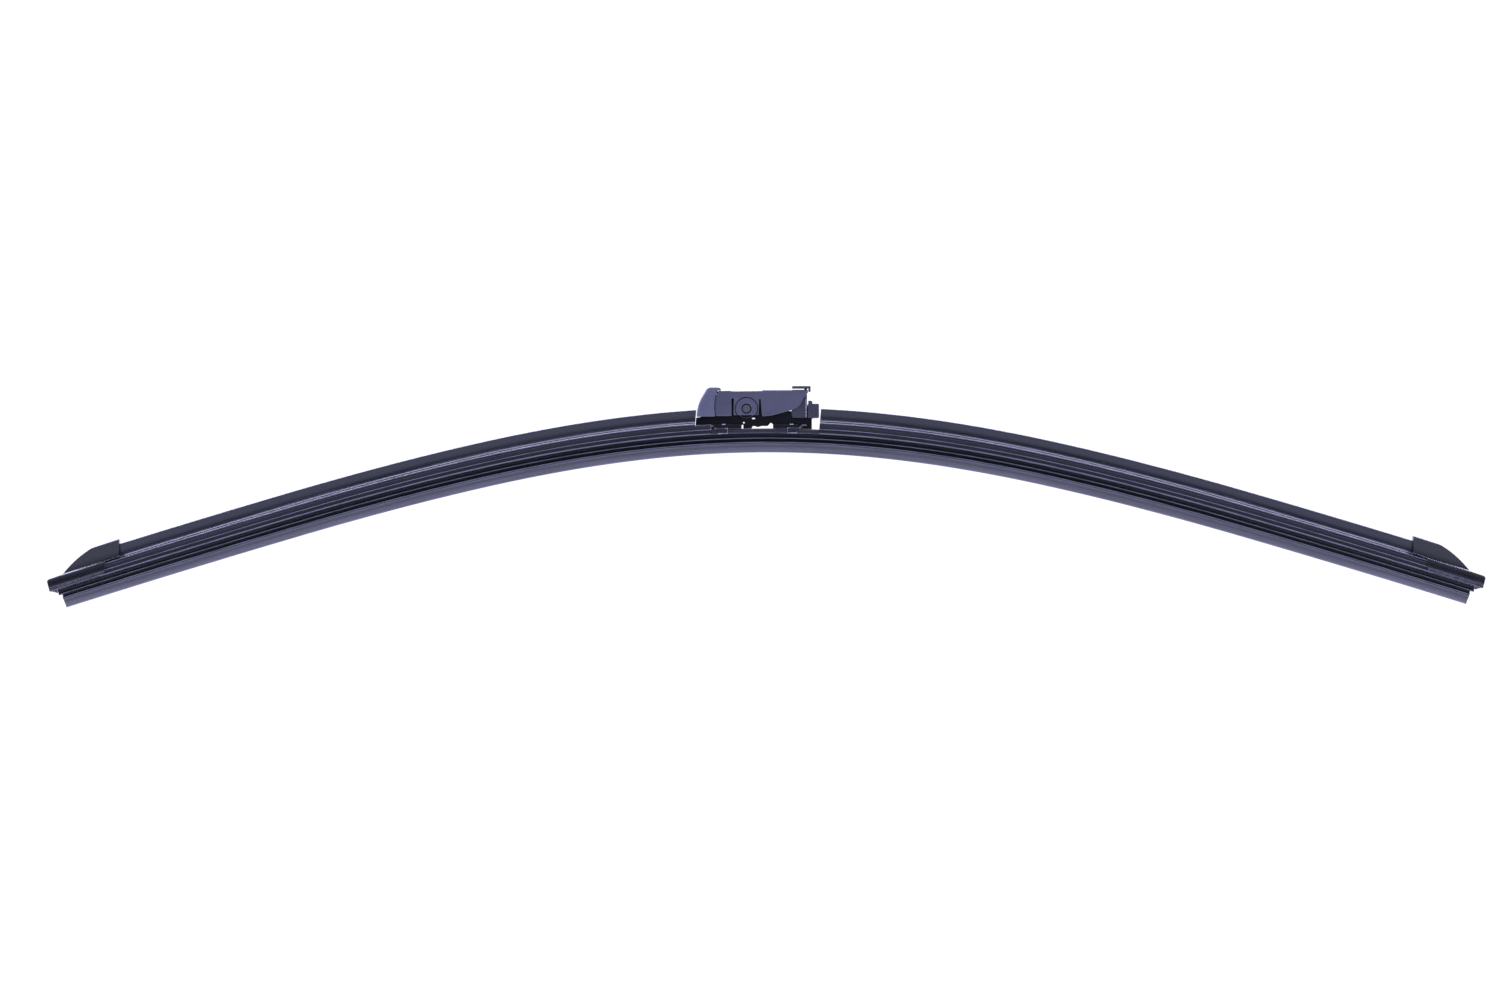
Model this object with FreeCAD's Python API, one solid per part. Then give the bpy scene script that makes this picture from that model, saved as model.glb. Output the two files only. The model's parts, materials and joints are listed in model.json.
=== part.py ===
"""Flat-beam windshield wiper blade with its quick-lock arm adapter. Millimetres.

The design frame has X along the blade, Y across it and Z up, away from the glass, with zero on
the wiping lip at the middle of the arch. Every piece is drawn there and then shifted, so that
the files have their origin at the centre of the pivot pin that carries the blade.
Along the arch, a place is given by s, the length along the lip from the middle, and t, the
height above the lip, square to it.
"""
import FreeCAD, Part
import math
import os

os.makedirs("parts", exist_ok=True)
Vector = FreeCAD.Vector
ALONG = Vector(1, 0, 0)
ACROSS = Vector(0, 1, 0)
UP = Vector(0, 0, 1)

# ---- driving dimensions -------------------------------------------------------------------

# One half of the relaxed arch, from the middle outwards: length along the lip and lip radius.
ARCH = [(50.0, 485.0), (40.0, 590.0), (35.0, 740.0), (40.0, 1150.0), (50.0, 1600.0), (120.0, 5500.0)]
HALF_LENGTH = 325.0          # half of the wiping lip, a 650 mm blade
FIT = 0.05                   # gap left between pieces that grip or slide into each other

# Rubber, rails and spoiler, in the section square to the arch.
LIP_TIP = 0.35               # half thickness of the wiping edge
RAIL_BOTTOM = 9.2
RAIL_TOP = 10.3
RAIL_INNER = 1.05
RAIL_OUTER = 5.3
RUBBER_TOP = 10.8
RAIL_END = HALF_LENGTH - 0.5
WING_OVERHANG = 1.3          # the rubber's head runs this much past the lip at each end
SPOILER_BASE_TOP = 13.2      # the spoiler's base runs on to here under the adapter's nose
SPOILER_TOP = 20.3
SPOILER_END = HALF_LENGTH - 19.0
SPOILER_LEFT_BASE = 24.3     # inner end of the left spoiler's base, along the lip from the middle
LEFT_FIN_CUT = ((-32.45, 7.4), (-31.23, 22.0))     # line in X and Z that ends the left spoiler's fin
RIGHT_FIN_CUT = ((23.8, 7.4), (25.2, 22.0))        # and the one that ends the whole right spoiler

# Pivot and adapter.
PIVOT_X = -8.75
PIVOT_Z = 19.7
PIN_RADIUS = 1.75
BUSH_BORE = 1.80
BUSH_RADIUS = 2.30
CHEEK_OUTER = 6.5            # half width of the adapter over its two cheeks
CHEEK_INNER = 4.9
ADAPTER_TOP = 28.15
ADAPTER_CEILING = 27.0
ADAPTER_WAIST = 27.7         # top of the adapter ahead of its rear half
ADAPTER_REAR = 19.0
NOSE_OUTER = 7.0             # half width of the nose cap
NOSE_INNER = 5.5
NOSE_EDGE = 1.3              # rounding round the nose cap's outline
CAP_EDGE = 0.3               # rounding of an end cap's inner ends
TAIL_EDGE = 0.5

# Release latch: a lever inside the adapter, with a T-shaped thumb bar above it.
LATCH_PIVOT_X = 3.0
LATCH_PIVOT_Z = 24.3
LATCH_PIN_RADIUS = 1.0
LATCH_BORE = 1.06
THUMB_BAR_BOTTOM = 28.85
THUMB_BAR_TOP = 29.85
LEVER_REAR = 18.6
SPRING_X = 7.6
SPRING_SEAT_Z = 21.6
SPRING_TOP_Z = 25.0
SPRING_COIL_RADIUS = 1.8
SPRING_WIRE_RADIUS = 0.3
SPRING_HALF_TURNS = 7

# Carrier: the moulding that joins the rails to the pivot.
SPINE_HALF = 3.4
BOSS_HALF = 4.6
FOOT_HALF = 5.4
FOOT_TOP = 12.4
CARRIER_SEAT = 10.9          # height above the lip of the faces that sit over the rubber
CLAMP_OUTER = 6.1
CLAMP_LEFT = -19.0
CLAMP_RIGHT = 11.55
CLAMP_LENGTH = 4.3
CLAMP_ARM_LEFT = 2.8         # reach of each clamp's arms past its edge; the left ones stop at the spoiler
CLAMP_ARM_RIGHT = 4.3
POST_TOP = 20.9              # the tail post, which has a raised step for the cover
POST_REAR = 22.2
POST_STEP = (18.8, 20.5)
POST_STEP_TOP = 21.7
RIVET_Y = 4.4
RIVET_RADIUS = 0.6
RIVET_HEAD_RADIUS = 0.95


# ---- helpers ------------------------------------------------------------------------------

def station(s):
    """Point of the lip line at s, and the slope there in radians, positive where it falls to +X."""
    x = z = slope = 0.0
    left = abs(s)
    for length, radius in ARCH:
        turn = min(left, length) / radius
        x += radius * (math.sin(slope + turn) - math.sin(slope))
        z += radius * (math.cos(slope + turn) - math.cos(slope))
        slope += turn
        left -= length
        if left <= 0:
            break
    side = math.copysign(1.0, s)
    return side * x, z, side * slope


def at_station(shape, s):
    """A shape drawn with X along the lip and Z square to it, carried to s on the arch."""
    x, z, slope = station(s)
    placed = shape.copy()
    placed.Placement = FreeCAD.Placement(Vector(x, 0, z), FreeCAD.Rotation(ACROSS, math.degrees(slope)))
    return placed


def arch_breaks():
    """Each place where the arch changes radius, with the radius that starts there."""
    edges = []
    reach = 0.0
    for length, radius in ARCH:
        edges.append((-reach - length, radius))
        if reach:
            edges.append((reach, radius))
        reach += length
    return sorted(edges)


def fused(shapes):
    """One clean shape from several that touch or overlap."""
    return shapes[0].fuse(shapes[1:]).removeSplitter() if len(shapes) > 1 else shapes[0]


def sweep(face, start, stop):
    """A face in the YZ plane (Y across, Z as t) carried along the arch from start to stop."""
    breaks = arch_breaks()
    runs = []
    for index, (low, radius) in enumerate(breaks):
        high = breaks[index + 1][0] if index + 1 < len(breaks) else sum(length for length, _ in ARCH)
        first, last = max(low, start), min(high, stop)
        if last - first < 1e-6:
            continue
        x, z, slope = station(first)
        centre = Vector(x - radius * math.sin(slope), 0, z - radius * math.cos(slope))
        runs.append(at_station(face, first).revolve(centre, ACROSS, math.degrees((last - first) / radius)))
    return fused(runs)


def outline_edges(points, to_vector):
    """Edges through a list of points: two numbers are a corner, four are an arc's middle and end."""
    edges = []
    here = points[0]
    for item in points[1:]:
        end = item[-2:]
        if len(item) == 4:
            edges.append(Part.Arc(to_vector(*here), to_vector(*item[:2]), to_vector(*end)).toShape())
        else:
            edges.append(Part.makeLine(to_vector(*here), to_vector(*end)))
        here = end
    return edges


def mirrored_face(half):
    """Section face from its +Y half, listed from the lowest point on the axis to the highest."""
    edges = outline_edges(half, lambda y, t: Vector(0, y, t))
    other = [edge.mirror(Vector(0, 0, 0), ACROSS) for edge in edges]
    return Part.Face(Part.Wire(Part.__sortEdges__(edges + other)))


def section_box(inner, outer, low, high):
    """Rectangular section face from y = inner to outer and t = low to high."""
    corners = [(inner, low), (outer, low), (outer, high), (inner, high), (inner, low)]
    return Part.Face(Part.makePolygon([Vector(0, y, t) for y, t in corners]))


def plate(points, low_y, high_y):
    """A side-view outline in X and Z, closed and extruded across from low_y to high_y."""
    edges = outline_edges(points + [points[0][-2:]], lambda x, z: Vector(x, low_y, z))
    return Part.Face(Part.Wire(edges)).extrude(ACROSS * (high_y - low_y))


def both_sides(points, inner, outer):
    """The same side-view plate on the front and on the rear of the blade."""
    return [plate(points, -outer, -inner), plate(points, inner, outer)]


def eased(shape, radius, chosen):
    """A shape with some of its edges rounded: those whose middle passes a test."""
    return shape.makeFillet(radius, [edge for edge in shape.Edges if chosen(edge.CenterOfMass)])


def block(x, y, z):
    """A box from three pairs of limits."""
    return Part.makeBox(x[1] - x[0], y[1] - y[0], z[1] - z[0], Vector(x[0], y[0], z[0]))


def cross_pin(radius, half, x, z):
    """A cylinder across the blade, centred on it."""
    return Part.makeCylinder(radius, 2 * half, Vector(x, -half, z), ACROSS)


def export(name, shape):
    """Move a finished piece to the pivot's frame and write it."""
    placed = shape.copy()
    placed.translate(Vector(-PIVOT_X, 0, -PIVOT_Z))
    placed.exportStep("parts/" + name + ".step")


# ---- sections along the arch --------------------------------------------------------------

def rubber_face(with_lip):
    """Wiping rubber: lip wedge, heel, thin neck, wings, and a head with a groove for each rail."""
    lip = [
        (0, 0),
        (LIP_TIP, 0),
        (0.5, 1.5),
        (2.4, 4.25),
        (2.65, 4.6),
        (2.65, 4.95),
        (2.3, 5.15),
        (0.5, 5.3),
    ]
    head = [
        (0.5, 6.15),
        (3.3, 6.3),
        (3.55, 6.5),
        (3.55, 6.8),
        (3.2, 7.0),
        (1.7, 7.2),
        (1.7, 8.3),
        (2.7, 8.7),
        (2.7, RAIL_BOTTOM - FIT),
        (RAIL_INNER - FIT, RAIL_BOTTOM - FIT),
        (RAIL_INNER - FIT, RAIL_TOP + FIT),
        (2.6, RAIL_TOP + FIT),
        (2.6, RUBBER_TOP - 0.15),
        (2.4, RUBBER_TOP),
        (0, RUBBER_TOP),
    ]
    return mirrored_face(lip + head if with_lip else [(0, head[0][1])] + head)


def spoiler_outside(grow, top):
    """Outer +Y half of the spoiler section, from its claws up to t = top, grown outwards."""
    base = [
        (5.7, 8.7 - grow),
        (6.1, 8.95 - grow),
        (6.15 + grow, 9.2),
        (6.05 + grow, 9.5),
        (5.65 + grow, 9.75),
        (5.65 + grow, 10.4),
        (6.1 + grow, 10.7),
        (6.25 + grow, 11.05),
        (6.1 + grow, 11.4),
        (5.7 + grow, 11.7),
        (5.7 + grow, 12.6),
        (6.2 + grow, SPOILER_BASE_TOP + grow),
    ]
    if top <= SPOILER_BASE_TOP:
        return base + [(0, SPOILER_BASE_TOP + grow)]
    fin = [
        (6.55 + grow, 13.5),
        (6.5 + grow, 13.9, 6.2 + grow, 14.15 + grow),
        (5.5 + grow, 14.3 + grow),
        (3.0 + grow, 16.6 + grow, 1.5 + grow, 19.9 + grow),
        (1.3, SPOILER_TOP - 0.1 + grow),
        (0.9, SPOILER_TOP + grow),
        (0, SPOILER_TOP + grow),
    ]
    return base + fin


def spoiler_face(top):
    """Spoiler section: the channel that clips over the rails and the rubber's head, and the fin."""
    channel = [
        (0, RUBBER_TOP + FIT),
        (2.7, RUBBER_TOP + FIT),
        (2.7, RAIL_TOP + FIT),
        (RAIL_OUTER + FIT, RAIL_TOP + FIT),
        (RAIL_OUTER + FIT, RAIL_BOTTOM - FIT),
        (3.9, RAIL_BOTTOM - FIT),
        (3.9, 8.7),
    ]
    return mirrored_face(channel + spoiler_outside(0.0, top))


def spoiler_envelope(grow):
    """Solid section that a spoiler and the blade under it fill, with a gap of grow round it."""
    return mirrored_face([(0, 5.0), (3.9, 5.0), (3.9, 8.7 - grow)] + spoiler_outside(grow, SPOILER_TOP))


# ---- blade --------------------------------------------------------------------------------

def wiper_rubber():
    """The rubber element; its head runs a little past the lip, inside the end caps."""
    end = HALF_LENGTH + WING_OVERHANG
    lip = sweep(rubber_face(True), -HALF_LENGTH, HALF_LENGTH)
    tips = [sweep(rubber_face(False), *span) for span in ((-end, -HALF_LENGTH), (HALF_LENGTH, end))]
    return fused([lip] + tips)


def spring_rail(side):
    """One of the two flat spring-steel rails: side is -1 for the front one and 1 for the rear."""
    inner, outer = sorted((side * RAIL_INNER, side * RAIL_OUTER))
    return sweep(section_box(inner, outer, RAIL_BOTTOM, RAIL_TOP), -RAIL_END, RAIL_END)


def beyond(cut):
    """Wedge from the middle of the blade out to a line given by two points in X and Z."""
    (low_x, low_z), (high_x, high_z) = cut
    return plate([(0, low_z), (low_x, low_z), (high_x, high_z), (0, high_z)], -9, 9)


def spoiler_left():
    """Left spoiler, with its base running on under the adapter's nose."""
    inner = LEFT_FIN_CUT[0][0]
    fin = sweep(spoiler_face(SPOILER_TOP), -SPOILER_END, inner + 3).cut(beyond(LEFT_FIN_CUT))
    base = sweep(spoiler_face(SPOILER_BASE_TOP), inner - 1, -SPOILER_LEFT_BASE)
    return fused([fin, base])


def spoiler_right():
    """Right spoiler, from the tail cover out to its end cap."""
    inner = RIGHT_FIN_CUT[0][0]
    return sweep(spoiler_face(SPOILER_TOP), inner - 3, SPOILER_END).cut(beyond(RIGHT_FIN_CUT))


# ---- end caps, drawn with x inwards from the lip's end and z as t ---------------------------

CAP_SECTION = [
    (0, 6.6),
    (3.6, 6.6),
    (5.4, 8.75),
    (6.6, 8.9),
    (7.0, 9.2),
    (7.0, 9.75),
    (6.8, 9.95),
    (6.8, 10.2),
    (7.35, 10.45),
    (7.45, 12.3, 7.35, 14.0),
    (7.15, 14.3),
    (6.1, 14.85),
    (5.0, 16.3, 3.3, 19.2),
    (2.6, 20.8, 2.2, 22.0),
    (1.5, 22.45),
    (0, 22.5),
]
CAP_SLEEVE = [
    (-4.4, 9.05),
    (-2.6, 8.2),
    (-1.6, 7.4),
    (-1.6, 8.75),
    (21.5, 8.75),
    (22.0, 10.3),
    (23.9, 14.85),
    (3.6, 14.85),
    (3.0, 14.45),
    (-2.8, 14.45),
    (-3.75, 14.1, -4.1, 13.2),
]
CAP_FIN = [
    (3.6, 14.6),
    (4.0, 15.1),
    (10.9, 19.2, 19.5, 22.2),
    (25.0, 22.4),
    (31.7, 22.5),
    (32.1, 22.2),
    (30.2, 14.6),
]
CLIP_INNER_END = 7.0
CLIP_OUTER_END = 2.0


def end_frame(shape, side):
    """Carry a piece drawn with x inwards to the lip's end on that side of the blade."""
    turned = shape if side < 0 else shape.mirror(Vector(0, 0, 0), ALONG)
    return at_station(turned, side * HALF_LENGTH)


def end_clip_shape(grow):
    """Steel staple over both rails: a top strap and a leg down each outer edge."""
    strap_low = RUBBER_TOP + FIT - grow
    strap_high = RUBBER_TOP + 0.65 + grow
    span = (CLIP_OUTER_END - grow, CLIP_INNER_END + grow)
    strap = block(span, (-5.9 - grow, 5.9 + grow), (strap_low, strap_high))
    legs = [
        block(span, (RAIL_OUTER + FIT, 5.9 + grow), (RAIL_BOTTOM - grow, strap_high)),
        block(span, (-5.9 - grow, -RAIL_OUTER - FIT), (RAIL_BOTTOM - grow, strap_high)),
    ]
    return fused([strap] + legs)


def sleeve_end(at):
    """Whether an edge's middle lies on the inner end face of an end cap's sleeve, over its claws."""
    return 21.9 < at.x < 23.95 and at.z > 10.4


def fin_end(at):
    """Whether an edge's middle lies on the inner end face of an end cap's fin."""
    return 30.4 < at.x < 32.2 and at.z > 14.9


def end_cap(side):
    """Moulded end cap: a sleeve round the rail ends and a swept fin over the spoiler's end."""
    across = mirrored_face(CAP_SECTION)
    across.translate(Vector(-10, 0, 0))
    prism = across.extrude(ALONG * 60)
    sleeve = eased(plate(CAP_SLEEVE, -8, 8).common(prism), CAP_EDGE, sleeve_end)
    fin = eased(plate(CAP_FIN, -8, 8).common(prism), CAP_EDGE, fin_end)
    outside = fused([sleeve, fin])
    cap = end_frame(outside, side)
    hollow_end = HALF_LENGTH + WING_OVERHANG + 0.2
    rail_slot = RAIL_OUTER + FIT
    hollows = [
        (spoiler_envelope(0.12), SPOILER_END + 0.3),
        (section_box(-3.75, 3.75, 5.0, RUBBER_TOP + FIT), hollow_end),
        (section_box(-rail_slot, rail_slot, RAIL_BOTTOM - FIT, RAIL_TOP + FIT), hollow_end),
    ]
    for face, outer in hollows:
        cap = cap.cut(sweep(face, *sorted((side * outer, side * (HALF_LENGTH - 45)))))
    return cap.cut(end_frame(end_clip_shape(FIT), side))


# ---- clamps and carrier -------------------------------------------------------------------

def clamp_section():
    """Rolled steel section that grips both rails from above."""
    return mirrored_face([
        (0, RUBBER_TOP + FIT),
        (RAIL_OUTER + FIT, RUBBER_TOP + FIT),
        (RAIL_OUTER + FIT, RAIL_BOTTOM - FIT),
        (4.0, RAIL_BOTTOM - FIT),
        (4.0, 8.65),
        (5.8, 8.65),
        (CLAMP_OUTER, 8.9),
        (CLAMP_OUTER, 11.15),
        (5.8, 11.45),
        (0, 11.45),
    ])


def clamp_arm(edge, tip):
    """Side view of the arm that hooks up from a clamp's outer edge and lies level out to its tip."""
    outwards = math.copysign(1.0, edge)
    reach = [
        (-0.5, 10.6),
        (-0.5, 11.4),
        (0.8, 11.45),
        (2.4, 12.75),
        (tip, 12.8),
        (tip, 12.2),
        (2.6, 12.1),
        (1.1, 10.75),
    ]
    return [(edge + outwards * x, z) for x, z in reach]


def rail_clamp(centre, arm_tip):
    """One rail clamp with its two outer arms, square to the arch at its own place."""
    half = CLAMP_LENGTH / 2
    section = clamp_section()
    section.translate(Vector(-half, 0, 0))
    grip = section.extrude(ALONG * CLAMP_LENGTH)
    side = math.copysign(1.0, centre)
    arms = both_sides(clamp_arm(side * half, arm_tip), FOOT_HALF + FIT, CLAMP_OUTER)
    return at_station(fused([grip] + arms), centre).cut(rivets())


def rivet(x, y):
    """Rivet through a foot and the clamp strap under it."""
    _, drop, _ = station(x)
    low = RUBBER_TOP + 2 * FIT + drop
    shank = Part.makeCylinder(RIVET_RADIUS, FOOT_TOP - low, Vector(x, y, low), UP)
    head = Part.makeCylinder(RIVET_HEAD_RADIUS, 0.45, Vector(x, y, FOOT_TOP), UP)
    return shank.fuse(head).removeSplitter()


def rivets():
    """The four carrier rivets, two through each clamp."""
    return [rivet(x, y) for x in (CLAMP_LEFT, CLAMP_RIGHT) for y in (-RIVET_Y, RIVET_Y)]


def carrier():
    """Central moulding: feet over the clamps, a spine, the pin boss and a tail post."""
    spine = plate([
        (-31.75, 12.0),
        (-31.5, 15.7),
        (-29.3, 16.0),
        (-29.0, 17.4),
        (-17.5, 17.6),
        (-17.5, 24.6),
        (-0.6, 24.6),
        (-0.6, 18.6),
        (17.5, 18.6),
        (17.5, POST_TOP),
        (POST_STEP[0], POST_TOP),
        (POST_STEP[0], POST_STEP_TOP),
        (POST_STEP[1], POST_STEP_TOP),
        (POST_STEP[1], POST_TOP),
        (POST_REAR, POST_TOP),
        (POST_REAR, 15.5),
        (20.75, 15.2),
        (20.75, 9.0),
        (3.2, 9.0),
        (3.2, 12.7),
        (2.2, 13.4),
        (1.5, 12.7),
        (0.8, 11.9),
        (-1.8, 11.95),
        (-3.7, 11.45),
        (-4.9, 11.9),
        (-5.9, 11.9),
        (-6.3, 11.3),
        (-6.3, 9.0),
        (-10.2, 9.0),
        (-10.2, 12.6),
        (-10.95, 12.4),
        (-10.95, 9.0),
        (-25.5, 9.0),
        (-25.5, 12.0),
    ], -SPINE_HALF, SPINE_HALF)
    boss = cross_pin(4.2, BOSS_HALF, PIVOT_X, PIVOT_Z)
    feet = [
        block((-25.5, -11.2), (-FOOT_HALF, FOOT_HALF), (9.0, FOOT_TOP)),
        block((3.2, 14.6), (-FOOT_HALF, FOOT_HALF), (9.0, FOOT_TOP)),
    ]
    body = fused([spine, boss] + feet)
    body = body.cut(sweep(section_box(-8, 8, 5.0, CARRIER_SEAT), -45, 45))
    body = body.cut(sweep(section_box(-8, 8, 5.0, SPOILER_BASE_TOP + 0.12), -45, -SPOILER_LEFT_BASE + 0.1))
    for centre in (CLAMP_LEFT, CLAMP_RIGHT):
        pocket = block((-CLAMP_LENGTH / 2 - FIT, CLAMP_LENGTH / 2 + FIT), (-8, 8), (8, 11.45 + FIT))
        body = body.cut(at_station(pocket, centre))
    body = body.cut(cross_pin(PIN_RADIUS + 0.02, 8, PIVOT_X, PIVOT_Z))
    eyes = [
        block((-6.2, -4.9), (-8, 8), (15.0, 15.65)),
        block((-10.3, -9.6), (-8, 8), (13.1, 13.8)),
    ]
    return body.cut(eyes).cut(rivets())


def tail_cover():
    """Stepped cover pushed over the carrier's tail post, closing the gap to the right spoiler."""
    outside = plate([
        (19.2, 15.5),
        (23.65, 15.4),
        (24.0, 15.8),
        (24.0, 21.6),
        (23.65, 21.9),
        (21.05, 21.9),
        (20.95, 23.2),
        (19.2, 23.3),
    ], -5.6, 5.6)
    outside = eased(outside, TAIL_EDGE, lambda at: abs(at.y) > 5.59 and at.x > 19.3 and at.z > 15.5)
    across = (-SPINE_HALF - FIT, SPINE_HALF + FIT)
    pocket = [
        block((19.0, POST_REAR + FIT), across, (15.0, POST_TOP + FIT)),
        block((19.0, POST_STEP[1] + FIT), across, (15.0, POST_STEP_TOP + FIT)),
    ]
    return outside.cut(pocket)


# ---- adapter ------------------------------------------------------------------------------

ADAPTER_SIDE = [
    (-20.1, ADAPTER_WAIST + 0.1),
    (-15.7, ADAPTER_WAIST + 0.1),
    (-15.5, ADAPTER_WAIST - 0.1),
    (-1.7, ADAPTER_WAIST),
    (-1.4, ADAPTER_TOP),
    (ADAPTER_REAR, ADAPTER_TOP),
    (ADAPTER_REAR, 27.0),
    (18.2, 25.8),
    (16.8, 23.8),
    (15.35, 21.5, 13.4, 19.8),
    (10.0, 18.6),
    (5.0, 17.2),
    (2.0, 16.5),
    (-1.7, 16.2),
    (-2.5, 24.2),
    (-2.9, 24.2),
    (-3.3, 16.8),
    (-14.55, 16.8),
    (-14.55, 24.3),
    (-15.45, 24.3),
    (-15.45, 16.4),
    (-22.6, 16.4),
    (-22.8, 20.0),
    (-22.5, 24.4, -21.3, ADAPTER_WAIST + 0.1),
]


def round_top_section(half, low, high, radius):
    """Section face of a channel's outside: straight sides and rounded upper corners."""
    rise = radius * math.sqrt(0.5)
    return mirrored_face([
        (0, low),
        (half, low),
        (half, high - radius),
        (half - radius + rise, high - radius + rise, half - radius, high),
        (0, high),
    ])


def rounded_prism(half, low, high, radius):
    """A long bar with that section, to trim a moulding's outside."""
    face = round_top_section(half, low, high, radius)
    face.translate(Vector(-40, 0, 0))
    return face.extrude(ALONG * 80)


def adapter_tongue(grow):
    """Tongue at the front of the adapter's roof that locates the nose cap."""
    half = 3.4 + grow
    return block((-24.5, -20.5 + grow), (-half, half), (ADAPTER_CEILING - 0.4 - grow, ADAPTER_WAIST - 0.1 + grow))


def adapter_body():
    """Channel-shaped adapter: cheeks with a snap tab each, a roof, the spring shelf and a front tongue."""
    outside = plate(ADAPTER_SIDE, -CHEEK_OUTER, CHEEK_OUTER)
    body = outside.common(rounded_prism(CHEEK_OUTER, 10, ADAPTER_TOP, 1.2))
    body = body.cut(block((-40, 40), (-CHEEK_INNER, CHEEK_INNER), (10, ADAPTER_CEILING - 0.4)))
    body = body.cut(block((0, 40), (-CHEEK_INNER, CHEEK_INNER), (10, ADAPTER_CEILING)))
    shelf_span = (SPRING_X - 2.6, SPRING_X + 2.6)
    shelf = block(shelf_span, (-CHEEK_INNER, CHEEK_INNER), (SPRING_SEAT_Z - 1, SPRING_SEAT_Z))
    body = fused([body, shelf, adapter_tongue(0.0)])
    body = body.cut(block((11.3, 30), (-2.1, 2.1), (ADAPTER_CEILING - 1, ADAPTER_TOP + 1)))
    body = body.cut(cross_pin(BUSH_RADIUS, 8, PIVOT_X, PIVOT_Z))
    body = body.cut(cross_pin(LATCH_PIN_RADIUS, CHEEK_INNER + 0.8, LATCH_PIVOT_X, LATCH_PIVOT_Z))
    for side in (-1, 1):
        face = side * CHEEK_OUTER
        ring = Part.makeCylinder(5.2, 0.24, Vector(PIVOT_X, face - 0.12, PIVOT_Z), ACROSS)
        core = Part.makeCylinder(4.9, 0.24, Vector(PIVOT_X, face - 0.12, PIVOT_Z), ACROSS)
        body = body.cut(ring.cut(core))
    return body


def pivot_bush(side):
    """Plain bush in one cheek, a little below its outer face."""
    start = Vector(PIVOT_X, side * CHEEK_INNER, PIVOT_Z)
    length = CHEEK_OUTER - CHEEK_INNER - 0.35
    ring = Part.makeCylinder(BUSH_RADIUS, length, start, ACROSS * side)
    return ring.cut(Part.makeCylinder(BUSH_BORE, length, start, ACROSS * side))


def pivot_pin():
    """Steel pin across the carrier's boss, with chamfered ends that run in the bushes."""
    half = CHEEK_OUTER - 0.15
    pin = cross_pin(PIN_RADIUS, half, PIVOT_X, PIVOT_Z)
    rims = [edge for edge in pin.Edges if abs(abs(edge.CenterOfMass.y) - half) < 0.01]
    return pin.makeChamfer(0.25, rims)


def nose_cap():
    """Hood on the front of the adapter, curved down to the left spoiler."""
    side = [
        (-31.2, 16.2),
        (-30.35, 21.6, -28.3, 26.0),
        (-27.2, 27.8),
        (-26.5, 28.85, -25.3, 29.5),
        (-20.95, 29.5),
        (-20.3, 28.95),
        (-20.3, 28.15),
        (-21.75, 28.15),
        (-22.95, 24.4, -23.25, 20.0),
        (-23.0, 16.2),
    ]
    hood = eased(
        plate(side, -NOSE_OUTER, NOSE_OUTER),
        NOSE_EDGE,
        lambda at: abs(at.y) > NOSE_OUTER - 0.01 and at.z > 17 and (at.x < -24 or at.z > 29),
    )
    inside = [
        (-29.8, 10),
        (-29.8, 17.0),
        (-29.1, 22.3, -27.2, 26.4),
        (-26.0, 28.0),
        (-25.0, 28.2),
        (-23.3, 28.2),
        (-23.3, 26.5),
        (-19.0, 26.5),
        (-19.0, 10),
    ]
    hood = hood.cut(plate(inside, -NOSE_INNER, NOSE_INNER))
    hood = hood.cut(block((-33, -29), (-SPINE_HALF - 0.4, SPINE_HALF + 0.4), (10, 18.9)))
    hood = hood.cut(adapter_tongue(2 * FIT))
    tongue_height = (16.8, 26.3)
    tongues = [
        block((-27.0, -20.0), (3.9, CHEEK_INNER - FIT), tongue_height),
        block((-27.0, -20.0), (FIT - CHEEK_INNER, -3.9), tongue_height),
        block((-27.0, -23.8), (3.9, NOSE_INNER + 0.2), tongue_height),
        block((-27.0, -23.8), (-NOSE_INNER - 0.2, -3.9), tongue_height),
    ]
    return fused([hood] + tongues)


def release_latch():
    """Latch lever: hub, arm, two rear legs, and a T-shaped thumb bar above the adapter."""
    hub = cross_pin(2.0, 4.6, LATCH_PIVOT_X, LATCH_PIVOT_Z)
    arm = block((LATCH_PIVOT_X, LEVER_REAR), (-4.6, 4.6), (SPRING_TOP_Z, ADAPTER_CEILING - 0.2))
    leg = [(12.2, 15.6), (LEVER_REAR, 15.6), (LEVER_REAR, 25.4), (12.0, 25.4), (11.6, 17.0)]
    strip = [(17.7, 15.8), (LEVER_REAR, 15.8), (LEVER_REAR, 24.6), (18.1, 24.9), (17.7, 24.3)]
    legs = both_sides(leg, 3.9, 4.7)
    strips = both_sides(strip, 3.9, 5.1)
    neck = block((17.4, LEVER_REAR), (-1.8, 1.8), (26.0, THUMB_BAR_BOTTOM))
    bar = plate([
        (11.9, THUMB_BAR_BOTTOM),
        (19.3, THUMB_BAR_BOTTOM),
        (19.3, 27.7),
        (19.5, 27.3),
        (20.2, 27.3),
        (20.2, THUMB_BAR_TOP - 0.2),
        (20.0, THUMB_BAR_TOP),
        (12.1, THUMB_BAR_TOP),
        (11.9, THUMB_BAR_TOP - 0.2),
    ], -5.6, 5.6)
    lever = fused([hub, arm, neck, bar] + legs + strips)
    return lever.cut(cross_pin(LATCH_BORE, 8, LATCH_PIVOT_X, LATCH_PIVOT_Z))


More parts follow.
